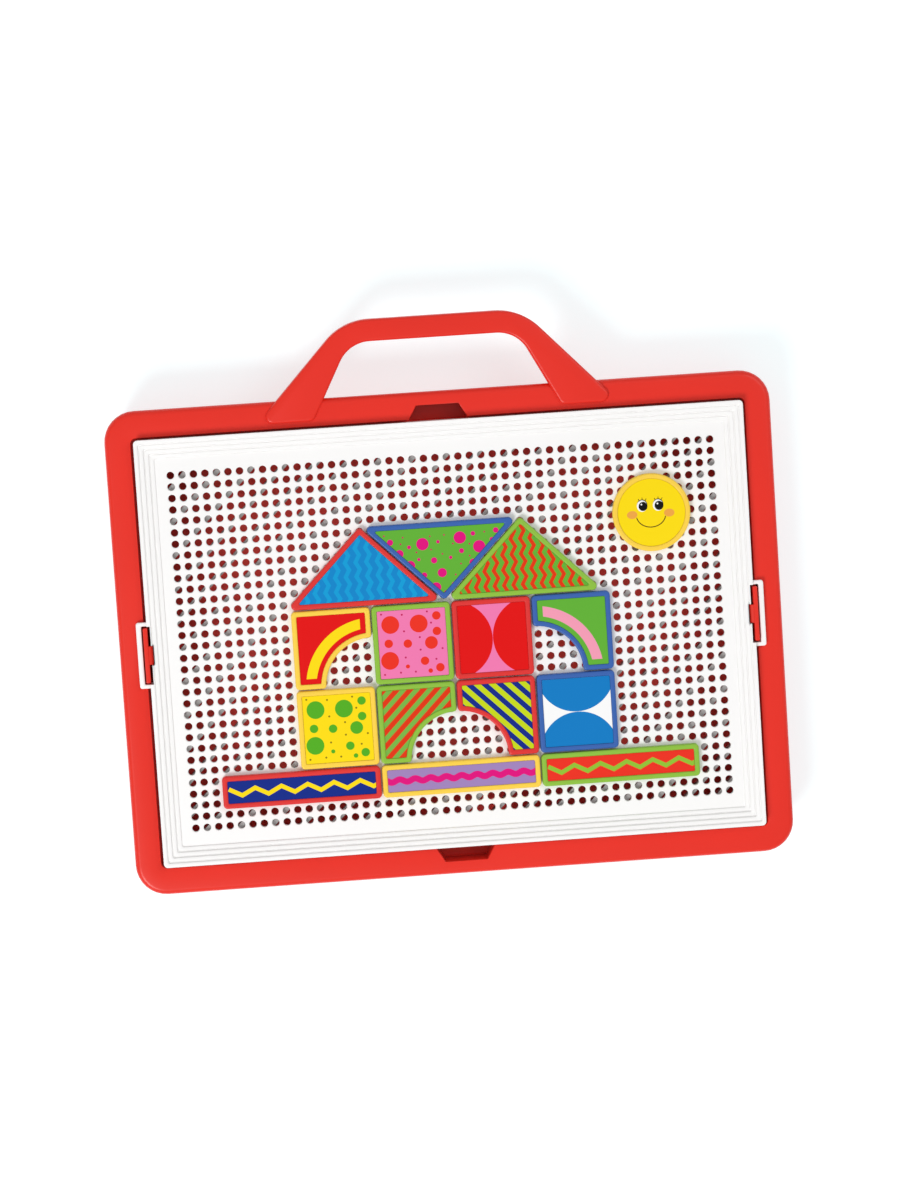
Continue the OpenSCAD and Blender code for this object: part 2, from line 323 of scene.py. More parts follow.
CASE_LOW, CASE_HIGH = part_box("case_tray")
BOARD_LOW, BOARD_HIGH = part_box("board_frame")
PLATE_LOW, PLATE_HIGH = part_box("peg_plate")
LUG_LOW, LUG_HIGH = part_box("snap_lug_right")
LUG_T = 2 * MM
LUG_IN_X = LUG_HIGH.x - LUG_T
LOOP_REACH = 4.7 * MM
CASE_Y = (CASE_LOW.y + CASE_HIGH.y) / 2
CASE_HX = (CASE_HIGH.x - CASE_LOW.x) / 2
CASE_HY = (CASE_HIGH.y - CASE_LOW.y) / 2
RIM_Z = CASE_HIGH.z
BOARD_HY = (BOARD_HIGH.y - BOARD_LOW.y) / 2
BOARD_HX = BOARD_HIGH.x - LOOP_REACH
LEDGE_Z = BOARD_LOW.z
FIELD_Z = PLATE_HIGH.z

CASE_R = 13.5 * MM
EDGE_R = 2.5 * MM
LEAN = 3.2 * MM
WALL = 2.2 * MM
SIDE_GAP = 1.3 * MM
POCKET_GAP = 0.8 * MM
LEDGE_W = 3 * MM
NOTCH_NEAR = 12.75 * MM
NOTCH_FAR = 9.25 * MM
NOTCH_REACH = 6 * MM
NOTCH_Z = RIM_Z - 14 * MM
LIP_R = 0.3 * MM
SLOT_HALF = 12.6 * MM
SLOT_SIDE = 0.7 * MM
SLOT_CLEAR = 0.4 * MM
POCKET_R = 2.6 * MM
TUB_R = 4 * MM
TUB_FLOOR_R = 1.5 * MM
FOOT_BEVEL = 0.4 * MM
UNDERSIDE_BEVEL = 0.3 * MM
POCKET_HX = BOARD_HX + SIDE_GAP
POCKET_HY = BOARD_HY + POCKET_GAP
TUB_HX = POCKET_HX - LEDGE_W
TUB_HY = POCKET_HY - LEDGE_W


def case_ring(hx, hy, r, notch=None, slot=0.0, grow=0.0):
    """Outline of the case at one height. notch is how far from the middle the finger notches
    reach, slot how far the lug slots cut past the side, and grow widens both."""
    near = NOTCH_NEAR + grow
    far = NOTCH_FAR + grow
    mid = hy if notch is None else max(hy, POCKET_HY + grow)
    deep = hy if notch is None else notch + grow
    half = SLOT_HALF + grow
    quarter_top = [(near, hy), (near, mid), (far, deep)]
    top = quarter_top + [(-x, y) for x, y in reversed(quarter_top)]
    right = [(hx, -half), (hx + slot, -half), (hx + slot, half), (hx, half)]
    points = list(right)
    points += arc(hx - r, hy - r, r, 0, 90)
    points += top
    points += arc(-hx + r, hy - r, r, 90, 180)
    points += [(-x, -y) for x, y in right]
    points += arc(-hx + r, -hy + r, r, 180, 270)
    points += [(-x, -y) for x, y in top]
    points += arc(hx - r, -hy + r, r, 270, 360)
    return moved(points, 0, CASE_Y)


def tub_sections():
    """The inside, from the tub's floor up to the rim's inner edge."""
    deep = POCKET_HY + NOTCH_REACH
    slot = LUG_HIGH.x + SLOT_SIDE - POCKET_HX
    sections = []
    for k in range(5):
        a = math.radians(90 * k / 4)
        back = TUB_FLOOR_R * (1 - math.sin(a))
        sections.append((case_ring(TUB_HX - back, TUB_HY - back, TUB_R),
                         WALL + TUB_FLOOR_R * (1 - math.cos(a))))
    sections += [
        (case_ring(TUB_HX, TUB_HY, TUB_R), NOTCH_Z),
        (case_ring(TUB_HX, TUB_HY, TUB_R, deep), NOTCH_Z),
        (case_ring(TUB_HX, TUB_HY, TUB_R, deep), LEDGE_Z),
        (case_ring(POCKET_HX, POCKET_HY, POCKET_R, deep, slot), LEDGE_Z),
    ]
    for k in range(5):
        a = math.radians(90 * k / 4)
        grow = LIP_R * (1 - math.cos(a))
        lip = case_ring(POCKET_HX + grow, POCKET_HY + grow, POCKET_R + grow, deep, slot, grow)
        sections.append((lip, RIM_Z - LIP_R * (1 - math.sin(a))))
    return sections


def outside_sections():
    """The rim's outer edge, the leaning wall, and the open channel underneath."""
    def outer(back):
        return case_ring(CASE_HX - back, CASE_HY - back, CASE_R - back)

    def tub(back):
        return case_ring(TUB_HX + WALL - back, TUB_HY + WALL - back, TUB_R + WALL)

    sections = []
    for k in range(7):
        a = math.radians(90 - 90 * k / 6)
        sections.append((outer(EDGE_R * (1 - math.cos(a))), RIM_Z - EDGE_R * (1 - math.sin(a))))
    pocket = case_ring(POCKET_HX + WALL, POCKET_HY + WALL, POCKET_R + WALL,
                       POCKET_HY + NOTCH_REACH + WALL)
    return sections + [
        (outer(LEAN), FOOT_BEVEL),
        (outer(LEAN + FOOT_BEVEL), 0.0),
        (outer(LEAN + WALL), 0.0),
        (outer(WALL), RIM_Z - WALL),
        (pocket, RIM_Z - WALL),
        (pocket, LUG_LOW.z - WALL),
        (tub(0), LUG_LOW.z - WALL),
        (tub(0), UNDERSIDE_BEVEL),
        (tub(UNDERSIDE_BEVEL), 0.0),
    ]


def in_the_tub(point):
    """Whether a point lies on the tub's floor or walls."""
    return (abs(point.x) < TUB_HX + MM and abs(point.y - CASE_Y) < TUB_HY + MM
            and WALL - MM < point.z < LEDGE_Z - MM)


def case_shell():
    """Tub, ledge, rim with its notches, leaning outer wall and the open channel below."""
    bm = bmesh.new()
    loft(bm, tub_sections() + outside_sections())
    # The tub's floor and walls take the brighter red copy: painted light, for the light that comes in
    # through the holes.
    for face in bm.faces:
        face.material_index = int(in_the_tub(face.calc_center_median()))
    shell = finished("case_shell", bm, [case_red, tub_painted_light], "case", "case_red", ["case_tray"])
    for side in (-1, 1):
        ends = sorted((side * (LUG_IN_X - SLOT_CLEAR), side * (LUG_HIGH.x + SLOT_SIDE)))
        slot = rectangle(*ends, CASE_Y - SLOT_HALF, CASE_Y + SLOT_HALF)
        cut_box(shell, slot, LUG_LOW.z, LEDGE_Z + MM)
    return shell


def cut_box(piece, outline, low, high):
    """Takes an upright box out of a piece."""
    bm = bmesh.new()
    loft(bm, [(outline, low), (outline, high)])
    bmesh.ops.recalc_face_normals(bm, faces=bm.faces)
    mesh = bpy.data.meshes.new("cutter")
    bm.to_mesh(mesh)
    bm.free()
    cutter = bpy.data.objects.new("cutter", mesh)
    bpy.context.scene.collection.objects.link(cutter)
    cut = piece.modifiers.new("cut", "BOOLEAN")
    cut.operation = "DIFFERENCE"
    cut.solver = "EXACT"
    cut.object = cutter
    depsgraph = bpy.context.evaluated_depsgraph_get()
    result = bpy.data.meshes.new_from_object(piece.evaluated_get(depsgraph))
    piece.modifiers.remove(cut)
    piece.data = result
    bpy.data.objects.remove(cutter)


# ---------------------------------------------------------------- handle

HANDLE_LOW, HANDLE_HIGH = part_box("carry_handle")
BEND_X = 27.5 * MM
BEND_OUT_R = 26 * MM
BEND_IN_R = 15 * MM
GRIP_W = 9.6 * MM
GRIP_TOP_R = 1.2 * MM
GRIP_UNDER_R = 2 * MM
FOOT_R = 3.2 * MM
FOOT_IN_X = 54.5 * MM
FOOT_SIDE = 8 * MM
WALL_BITE = 1.6 * MM
HAIR = 0.01 * MM


def tangent_angle(x1, y1, r1, x2, y2, r2):
    """Direction, in degrees, of the normal of the line that touches both circles on the right."""
    dx = x1 - x2
    dy = y1 - y2
    away = math.atan2(dy, dx) - math.acos((r2 - r1) / math.hypot(dx, dy))
    return math.degrees(away)


def handle_half(end_y=None):
    """Right half of the handle's outline, from the middle of its outer edge round to the
    middle of its inner edge. It stops at the feet, or is cut straight at end_y."""
    top = HANDLE_HIGH.y
    foot_x = HANDLE_HIGH.x - FOOT_R
    foot_y = HANDLE_LOW.y
    out_y = top - BEND_OUT_R
    in_y = top - GRIP_W - BEND_IN_R
    out_turn = tangent_angle(BEND_X, out_y, BEND_OUT_R, foot_x, foot_y + FOOT_R, FOOT_R)
    in_turn = tangent_angle(BEND_X, in_y, BEND_IN_R, FOOT_IN_X, foot_y - MM, 0)
    outer = arc(BEND_X, out_y, BEND_OUT_R, 90, out_turn, 14)
    inner = arc(BEND_X, in_y, BEND_IN_R, in_turn, 90, 12)

    def cross(point, turn, y):
        """Where the straight stretch through a point reaches a height."""
        slope = -math.tan(math.radians(turn))
        return (point[0] + (y - point[1]) * slope, y)

    if end_y is not None:
        return outer + [cross(outer[-1], out_turn, end_y), cross(inner[0], in_turn, end_y)] + inner
    corner = cross(inner[0], in_turn, foot_y)
    above = cross(inner[0], in_turn, foot_y + FOOT_SIDE)
    beside = (corner[0] + FOOT_SIDE, foot_y)
    rounding = filleted([beside, corner, above], [0, FOOT_R, 0])
    foot = arc(foot_x, foot_y + FOOT_R, FOOT_R, out_turn, -90, 10)
    return outer + foot + rounding[1:-1] + inner


def handle_outline(end_y=None):
    """Whole outline, anticlockwise."""
    right = handle_half(end_y)
    left = [(-x, y) for x, y in reversed(right)]
    return list(reversed(right + left))


def grip_handle():
    """The grip with its feet on the rim, and its thicker part that ends in the case's wall."""
    bm = bmesh.new()
    rounded_slab(bm, handle_outline(), RIM_Z - 2 * HAIR, HANDLE_HIGH.z, GRIP_TOP_R)
    under = handle_outline(CASE_Y + CASE_HY - WALL_BITE)
    rounded_slab(bm, under, HANDLE_LOW.z, RIM_Z + HAIR, HAIR, GRIP_UNDER_R)
    return finished("grip_handle", bm, [case_red], "case", "case_red", ["carry_handle"])


# ---------------------------------------------------------------- snap lugs

NOSE_REACH = 1.8 * MM
NOSE_HALF = 4 * MM
NOSE_ROOT = 0.6 * MM
NOSE_PROFILE = [(0.0, 2.6 * MM), (NOSE_REACH, 1.7 * MM), (NOSE_REACH, 1.0 * MM),
                (NOSE_REACH - 0.4 * MM, 0.6 * MM), (0.2 * MM, 0.25 * MM)]
LUG_CORNER_R = 0.5 * MM
LUG_TOP_R = 0.45 * MM


def snap_lug(name, side, body, cad_node):
    """Upright tab with a nose that points at the board."""
    bm = bmesh.new()
    tab = rectangle(LUG_IN_X, LUG_HIGH.x, LUG_LOW.y, LUG_HIGH.y)
    rounded_slab(bm, filleted(tab, LUG_CORNER_R, 4), LUG_LOW.z, LUG_HIGH.z, LUG_TOP_R)
    sections = []
    for reach, drop in NOSE_PROFILE:
        nose = rectangle(LUG_IN_X - reach, LUG_IN_X + NOSE_ROOT, CASE_Y - NOSE_HALF, CASE_Y + NOSE_HALF)
        sections.append((nose, LUG_HIGH.z - drop))
    loft(bm, sections)
    if side < 0:
        bmesh.ops.scale(bm, vec=(-1, 1, 1), verts=bm.verts)
    return finished(name, bm, [case_red], body, "case_red", [cad_node])


# ---------------------------------------------------------------- board

BOARD_R = 1.8 * MM
EDGE_W = 1.85 * MM
STEP_W = 2.2 * MM
STEP_H = 0.75 * MM
STEPS = 4
GROOVE_D = 0.3 * MM
SHELF_W = 4 * MM
LOOP_LOW_Z = RIM_Z + 0.3 * MM
LOOP_T = 2 * MM
LOOP_HALF = 12.75 * MM
LOOP_ARM = 1.75 * MM
LOOP_BAR = 2.3 * MM
LOOP_ROOT = 1.2 * MM
LOOP_BEND = 1.1 * MM
LOOP_INNER_R = 0.4 * MM
LOOP_TOP_R = 0.5 * MM
LOOP_UNDER_R = 0.3 * MM
RECESS = 1.4 * MM
NOSE_GAP = 0.3 * MM
NOSE_NOTCH = NOSE_REACH + 0.2 * MM + NOSE_GAP
SIDE_DRAFT = 0.2 * MM
EDGE_BEVEL = 0.15 * MM
STEP_R = 1 * MM
EDGE_H = 1.2 * MM


def board_ring(back, r, recess=0.0, nose=0.0):
    """Outline of the board, set in by a distance. recess is how far the side recesses for the
    lugs cut in from the board's edge, and nose how far the notches for their noses do."""
    hx = BOARD_HX - back
    hy = BOARD_HY - back
    r = max(r, 0.3 * MM)
    cut = min(hx, BOARD_HX - recess)
    notch = min(cut, BOARD_HX - nose)
    half = NOSE_HALF + NOSE_GAP
    right = [(hx, -LOOP_HALF), (cut, -LOOP_HALF), (cut, -half), (notch, -half)]
    right += [(x, -y) for x, y in reversed(right)]
    points = list(right)
    points += arc(hx - r, hy - r, r, 0, 90)
    points += arc(-hx + r, hy - r, r, 90, 180)
    points += [(-x, -y) for x, y in right]
    points += arc(-hx + r, -hy + r, r, 180, 270)
    points += arc(hx - r, -hy + r, r, 270, 360)
    return moved(points, 0, CASE_Y)


def border_outline(back, r):
    return board_ring(back, r, RECESS, NOSE_NOTCH)


def step_profile(k):
    """How far one step lies from its middle line, and its heights, from the top down. A
    groove runs along the foot of each step but the last, which stands on the plate."""
    z = BOARD_HIGH.z - k * STEP_H
    foot = z - STEP_H
    groove = foot - GROOVE_D
    rounding = [(-0.35 * MM, z), (-0.15 * MM, z - 0.12 * MM)]
    if k == STEPS - 1:
        return rounding + [(0.1 * MM, FIELD_Z)]
    return rounding + [(0.1 * MM, groove), (0.5 * MM, groove), (0.65 * MM, foot)]


def border_sections():
    """Round the border's section, from its outer foot over the steps and back below."""
    top = BOARD_HIGH.z
    low_edge = (border_outline(SIDE_DRAFT, BOARD_R), LEDGE_Z + EDGE_BEVEL)
    sections = [low_edge, (border_outline(SIDE_DRAFT, BOARD_R), top - EDGE_H)]
    for k in range(4):
        a = math.radians(90 * k / 3)
        back = EDGE_BEVEL * (1 - math.cos(a))
        sections.append((border_outline(back, BOARD_R), top - EDGE_BEVEL * (1 - math.sin(a))))
    for k in range(STEPS):
        back = EDGE_W + k * STEP_W
        sections += [(border_outline(back + along, STEP_R), z) for along, z in step_profile(k)]
    return sections + [
        (border_outline(SHELF_W, STEP_R), FIELD_Z),
        (border_outline(SHELF_W, STEP_R), LEDGE_Z),
        (border_outline(SIDE_DRAFT + EDGE_BEVEL, BOARD_R), LEDGE_Z),
        low_edge,
    ]


def board_border():
    """Stepped frame round the plate, with the recesses for the lugs."""
    bm = bmesh.new()
    loft(bm, border_sections(), cap_first=False, cap_last=False)
    for side in (-1, 1):
        side_loop(bm, side)
    whole = len(bm.faces)
    diagonal_ribs(bm)
    bm.faces.ensure_lookup_table()
    # The ribs take the dark grey copy of the board white: painted shade, for the shade under the plate.
    for face in bm.faces[whole:]:
        face.material_index = 1
    return finished("board_border", bm, [board_white, rib_painted_shade], "board", "board_white",
                    ["board_frame"])


def side_loop(bm, side):
    """Loop that surrounds a snap lug."""
    x0 = BOARD_HX - LOOP_ROOT
    x1 = BOARD_HIGH.x
    inner = x1 - LOOP_BAR
    outer_y = LOOP_HALF + LOOP_ARM
    corners = [(x0, -outer_y), (x1, -outer_y), (x1, outer_y), (x0, outer_y),
               (x0, LOOP_HALF), (inner, LOOP_HALF), (inner, -LOOP_HALF), (x0, -LOOP_HALF)]
    radii = [0, LOOP_BEND, LOOP_BEND, 0, 0, LOOP_INNER_R, LOOP_INNER_R, 0]
    loop = filleted(corners, radii, 6)
    if side < 0:
        loop = mirrored(loop)
    rounded_slab(bm, moved(loop, 0, CASE_Y), LOOP_LOW_Z, LOOP_LOW_Z + LOOP_T, LOOP_TOP_R, LOOP_UNDER_R)


RIB_GAP = 10 * MM
RIB_SHIFT = 3.75 * MM
RIB_W = 2.2 * MM
RIB_BITE = 0.2 * MM
RIB_SHORTEST = 2 * MM


def diagonal_ribs(bm):
    """Parallel ribs under the plate, from one side of the frame to another."""
    hx = BOARD_HX - SHELF_W + RIB_BITE
    hy = BOARD_HY - SHELF_W + RIB_BITE
    high = PLATE_LOW.z - HAIR
    along = Vector((1, 1)).normalized()
    across = Vector((-1, 1)).normalized()
    count = int((hx + hy) / math.sqrt(2) / RIB_GAP) + 1
    for n in range(-count, count + 1):
        foot = across * (n * RIB_GAP + RIB_SHIFT)
        start = max((-hx - foot.x) / along.x, (-hy - foot.y) / along.y)
        end = min((hx - foot.x) / along.x, (hy - foot.y) / along.y)
        if end - start < RIB_SHORTEST:
            continue
        side = across * (RIB_W / 2)
        corners = [foot + along * start - side, foot + along * end - side,
                   foot + along * end + side, foot + along * start + side]
        rib = moved([tuple(c) for c in corners], 0, CASE_Y)
        loft(bm, [(rib, LEDGE_Z), (rib, high)])


HOLE_COLUMNS = 48
HOLE_ROWS = 32
HOLE_STEPS = 24
HOLE_BEVEL = 0.2 * MM


def cell_edge(half):
    """Points round a square cell that pair with the points round its hole."""
    points = []
    for k in range(HOLE_STEPS):
        a = math.radians(360 * k / HOLE_STEPS)
        reach = half / max(abs(math.cos(a)), abs(math.sin(a)))
        points.append((reach * math.cos(a), reach * math.sin(a)))
    return points


def hole_levels():
    """Outlines round one hole and its cell, from the cell's top edge to its bottom edge."""
    low, high = PLATE_LOW.z, PLATE_HIGH.z
    square = cell_edge(PITCH / 2)
    wide = circle(0, 0, HOLE_R + HOLE_BEVEL, HOLE_STEPS)
    tight = circle(0, 0, HOLE_R, HOLE_STEPS)
    return [(square, high), (wide, high), (tight, high - HOLE_BEVEL),
            (tight, low + HOLE_BEVEL), (wide, low), (square, low)]


def add_cell(verts, faces, levels, x, y):
    """Adds the surface of one cell, with its middle at x, y."""
    base = len(verts)
    for outline, z in levels:
        verts += [(x + px, y + py, z) for px, py in outline]
    for level in range(len(levels) - 1):
        a = base + level * HOLE_STEPS
        b = a + HOLE_STEPS
        for k in range(HOLE_STEPS):
            j = (k + 1) % HOLE_STEPS
            faces.append((a + k, a + j, b + j, b + k))


def hole_plate():
    """Flat plate with a grid of round holes, each with a small bevel above and below."""
    middle_y = (PLATE_HIGH.y + PLATE_LOW.y) / 2
    levels = hole_levels()
    verts = []
    faces = []
    for row in range(HOLE_ROWS):
        for column in range(HOLE_COLUMNS):
            x = (column - (HOLE_COLUMNS - 1) / 2) * PITCH
            y = ((HOLE_ROWS - 1) / 2 - row) * PITCH + middle_y
            add_cell(verts, faces, levels, x, y)
    mesh = bpy.data.meshes.new("hole_cells")
    mesh.from_pydata(verts, [], faces)
    bm = bmesh.new()
    bm.from_mesh(mesh)
    bpy.data.meshes.remove(mesh)
    bmesh.ops.remove_doubles(bm, verts=bm.verts, dist=1e-6)
    margin_rim(bm, middle_y)
    return finished("hole_plate", bm, [board_white], "board", "board_white", ["peg_plate"])


def margin_rim(bm, middle_y):
    """Solid margin between the grid of holes and the plate's edge."""
    hx = (PLATE_HIGH.x - PLATE_LOW.x) / 2
    hy = (PLATE_HIGH.y - PLATE_LOW.y) / 2
    gx = HOLE_COLUMNS * PITCH / 2
    gy = HOLE_ROWS * PITCH / 2
    edge = [e for e in bm.edges if e.is_boundary]
    made = bmesh.ops.extrude_edge_only(bm, edges=edge)["geom"]
    for v in (g for g in made if isinstance(g, bmesh.types.BMVert)):
        if abs(abs(v.co.x) - gx) < 1e-6:
            v.co.x = math.copysign(hx, v.co.x)
        if abs(abs(v.co.y - middle_y) - gy) < 1e-6:
            v.co.y = middle_y + math.copysign(hy, v.co.y - middle_y)
    edge = [e for e in bm.edges if e.is_boundary]
    bmesh.ops.bridge_loops(bm, edges=edge)


# ---------------------------------------------------------------- tiles

TILE_R = 1.8 * MM
BORDER_W = 2.2 * MM
BORDER_ROUND = 0.7 * MM
RECESS_ROUND = 0.35 * MM
INLAY_DROP = 0.8 * MM
INLAY_T = 0.5 * MM
SHELL_T = 1.4 * MM
WEB_T = 1.0 * MM
PEG_R = 1.55 * MM
PEG_TIP = 0.4 * MM
PEG_BITE = 0.05 * MM
TILE_LIFT = 0.15 * MM
TILE_FOOT_R = 0.15 * MM
HOLLOW_R = 0.5 * MM
RECESS_R = 0.6 * MM
PRINT_GAP = 0.1 * MM
PRINT_R = 0.5 * MM
DISC_STEPS = 96
ARCH_CUT = 21 * MM
ARCH_STEPS = 14
ARCH_TOE_R = 1.2 * MM


def arch_corners(half, back):
    """Square with a quarter circle cut out of its lower right corner, set in by back."""
    h = half - back
    r = ARCH_CUT + back
    first = math.degrees(math.asin(back / r))
    curve = arc(half, -half, r, 90 + first, 180 - first, ARCH_STEPS)
    return [(-h, -h)] + list(reversed(curve)) + [(h, h), (-h, h)]


def tile_ring(shape, hx, hy, back, r):
    """Outline of a tile about its middle, set in by back, with rounded corners."""
    if shape == "disc":
        return circle(0, 0, hx - back, DISC_STEPS)
    if shape in ("square", "bar"):
        return filleted(rectangle(-hx + back, hx - back, -hy + back, hy - back), r)
    if shape in ("peak", "valley"):
        tip = hy - back * math.sqrt(2)
        side = 2 * hy - back * (1 + math.sqrt(2))
        points = filleted([(-side, -hy + back), (side, -hy + back), (0, tip)], r)
        return points if shape == "peak" else [(x, -y) for x, y in reversed(points)]
    toe_r = min(r, ARCH_TOE_R)
    radii = [r, toe_r] + [0] * (ARCH_STEPS - 1) + [toe_r, r, r]
    points = filleted(arch_corners(hx, back), radii)
    return points if shape == "arch_right" else mirrored(points)


SQUARE_PEGS = [(-2, -2), (2, -2), (-2, 2), (2, 2)]
PEAK_PEGS = [(-3, -2), (3, -2), (0, 1)]
PEGS = {
    "square": SQUARE_PEGS,
    "bar": [(-5.5, 0), (-1.5, 0), (1.5, 0), (5.5, 0)],
    "disc": [(-1.5, -2), (1.5, -2), (-1.5, 2), (1.5, 2)],
    "peak": PEAK_PEGS,
    "valley": [(x, -y) for x, y in PEAK_PEGS],
    "arch_right": [p for p in SQUARE_PEGS if p != (2, -2)],
    "arch_left": [p for p in SQUARE_PEGS if p != (-2, -2)],
}


def tile_middle(node_name, shape):
    """Middle and half size of a tile on its lattice, from its CAD solid."""
    low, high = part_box(node_name)
    x = (low.x + high.x) / 2
    y = (low.y + high.y) / 2
    hx = (high.x - low.x) / 2
    hy = (high.y - low.y) / 2
    if shape in ("peak", "valley"):
        lost = TILE_R * (math.sqrt(2) - 1)
        hy = (high.y - low.y + lost) / 2
        y += lost / 2 if shape == "peak" else -lost / 2
    return x, y, hx, hy, low.z, high.z


def tile_sections(outline, top):
    """From the hollow's roof down its wall, up the outside and over the border to the recess."""
    bottom = FIELD_Z + TILE_LIFT
    floor = top - INLAY_DROP
    hollow = outline(SHELL_T, HOLLOW_R)
    foot = outline(TILE_FOOT_R, TILE_R - TILE_FOOT_R)
    sections = [(hollow, floor - WEB_T), (hollow, bottom), (foot, bottom),
                (outline(0, TILE_R), bottom + TILE_FOOT_R)]
    for k in range(6):
        a = math.radians(90 * k / 5)
        back = BORDER_ROUND * (1 - math.cos(a))
        sections.append((outline(back, TILE_R - back), top - BORDER_ROUND * (1 - math.sin(a))))
    for k in range(4):
        a = math.radians(90 - 90 * k / 3)
        back = BORDER_W - RECESS_ROUND * (1 - math.cos(a))
        sections.append((outline(back, RECESS_R), top - RECESS_ROUND * (1 - math.sin(a))))
    return sections + [(outline(BORDER_W, RECESS_R), floor)]


def tile_shell(name, shape, plastic):
    """Raised rounded border, recess for the print, hollow underside and pegs."""
    x, y, hx, hy, low, top = tile_middle(name + "_tile", shape)

    def outline(back, r):
        return moved(tile_ring(shape, hx, hy, back, r), x, y)

    bm = bmesh.new()
    loft(bm, tile_sections(outline, top))
    peg_top = top - INLAY_DROP - WEB_T + PEG_BITE
    for px, py in PEGS[shape]:
        cylinder(bm, x + px * PITCH, y + py * PITCH, PEG_R, low, peg_top, PEG_TIP)
    return finished(name + "_shell", bm, [TILE_PLASTIC[plastic]], name + "_tile", plastic,
                    [name + "_tile"])


# ---------------------------------------------------------------- printed patterns
# A pattern is a list of (ink, outline) in metres about the tile's middle, painted in order.
# The sizes that its functions take are in millimetres.

def disc(x, y, r, ry=None, steps=32):
    ry = r if ry is None else ry
    turn = [2 * math.pi * k / steps for k in range(steps)]
    return [(x * MM + r * MM * math.cos(a), y * MM + ry * MM * math.sin(a)) for a in turn]


def stroke(points, width):
    """Outline of a line of a given width through points, in millimetres."""
    left = []
    right = []
    for k, here in enumerate(points):
        here = Vector(here)
        before = Vector(points[max(k - 1, 0)])
        after = Vector(points[min(k + 1, len(points) - 1)])
        d0 = (here - before).normalized() if k else (after - here).normalized()
        d1 = (after - here).normalized() if k < len(points) - 1 else d0
        normal = Vector((-d0.y - d1.y, d0.x + d1.x)).normalized()
        lean = normal.dot(Vector((-d0.y, d0.x)))
        side = normal * (width / 2 / lean)
        left.append(here + side)
        right.append(here - side)
    return [(p.x * MM, p.y * MM) for p in right + list(reversed(left))]


def dots(colour_name, speck_name):
    """Scattered dots of three sizes and a few specks."""
    big = [(-9.3, 8.7), (3.1, 8.5), (-10.4, -7.0)]
    middle = [(8.1, -0.2)]
    small = [(-2.2, 0), (-10.5, 0.5), (11, 11.5), (10.8, 4.7), (4.8, -8), (11.3, -11.3)]
    specks = [(-13, 13.5), (-4, 12.8), (7, 13.5), (8.5, 8.5), (-3.5, 5.5), (3.2, 2.5), (3.2, -3),
              (12.8, -3), (-3.5, -6), (9.8, -7.5), (-13, -13), (-6, -12.5), (0.5, -12.5)]
    shapes = [(colour_name, disc(x, y, 3.9, steps=48)) for x, y in big]
    shapes += [(colour_name, disc(x, y, 2.8)) for x, y in middle]
    shapes += [(colour_name, disc(x, y, 1.85)) for x, y in small]
    shapes += [(colour_name, disc(x, y, r, steps=16)) for x, y, r in ((-2.8, -10, 0.9), (7, -12.5, 1.0))]
    shapes += [(speck_name, disc(x, y, 0.45, steps=10)) for x, y in specks]
    return shapes


def blots():
    """Magenta dots of many sizes on a triangle that points down."""
    spots = [(-22, 9.6, 1.35), (-18.2, 4.4, 1.75), (-13.8, -1, 2.1), (-13.9, 7, 0.85), (-8, 8, 2.7),
             (-3.4, 0.6, 1.35), (-0.2, -5, 2.0), (-8, -5.6, 1.25), (-3.2, -11.2, 2.2), (4.7, -10.4, 1.1),
             (8.4, 9.8, 2.7), (14.2, 11.2, 1.0), (16.6, 5.4, 2.7), (8.8, 4, 1.1), (3.9, 1.4, 0.75),
             (13.5, -1.4, 1.6), (24.2, 12, 1.2), (22.2, 8.2, 0.9), (-1.2, 8.6, 0.75), (-10, 1.4, 0.7)]
    specks = [(-24.5, 12.6), (-17.5, 8.6), (-16.4, 11.4), (-10.8, 4.6), (-4.6, 11.2), (-4.4, 5.4),
              (1.6, 11.4), (0.4, 3.2), (5.2, 7.4), (12.4, 6.8), (12.2, 1.6), (8.2, -1.6),
              (5.6, -6.2), (0.6, -13.2), (19.2, 11.6)]
    shapes = [("magenta", disc(x, y, r, steps=28)) for x, y, r in spots]
    return shapes + [("wine", disc(x, y, 0.4, steps=10)) for x, y in specks]


def zigzags(colour_name, gap, width, swing, rise, half_x, half_y, shift=0.0):
    """Upright zigzag lines side by side."""
    shapes = []
    count = int(half_x / gap) + 2
    turns = int(2 * half_y / rise) + 3
    for n in range(-count, count + 1):
        x = n * gap + shift
        points = [(x + swing / 2 * (-1) ** k, half_y + rise / 2 - k * rise) for k in range(turns)]
        shapes.append((colour_name, stroke(points, width)))
    return shapes


def stripes(colour_name, lean, gap, width, shift, reach=24):
    """Slanting stripes; lean is 1 for rising to the right and -1 for falling."""
    shapes = []
    spread = 2.4 * reach
    count = int(spread / gap) + 1
    for n in range(-count, count + 1):
        x = n * gap + shift
        line = [(x - reach, -lean * reach), (x + reach, lean * reach)]
        shapes.append((colour_name, stroke(line, width)))
    return shapes


def wave(colour_name, step, swing, width, peak_x=0.0, smooth=False, reach=40):
    """Zigzag or smooth line along a bar, with a peak at peak_x."""
    turns = int(reach / step)
    parts = 6 if smooth else 1
    points = []
    for k in range(-turns * parts, turns * parts + 1):
        points.append((peak_x + k * step / parts, swing / 2 * math.cos(math.pi * k / parts)))
    return [(colour_name, stroke(points, width))]


def rainbow(colour_name, side):
    """Arc band round a quarter arch's cut, cut off square near the tile's edges."""
    corner = 17.15
    outer, inner, stop = 29.75, 25.3, 4.6

    def bow(r, steps=24):
        end = math.asin(stop / r)
        turn = [end + (math.pi / 2 - 2 * end) * k / steps for k in range(steps + 1)]
        return [((corner - r * math.cos(a)) * MM, (-corner + r * math.sin(a)) * MM) for a in turn]

    band = bow(outer) + list(reversed(bow(inner)))
    return [(colour_name, band if side > 0 else mirrored(band))]


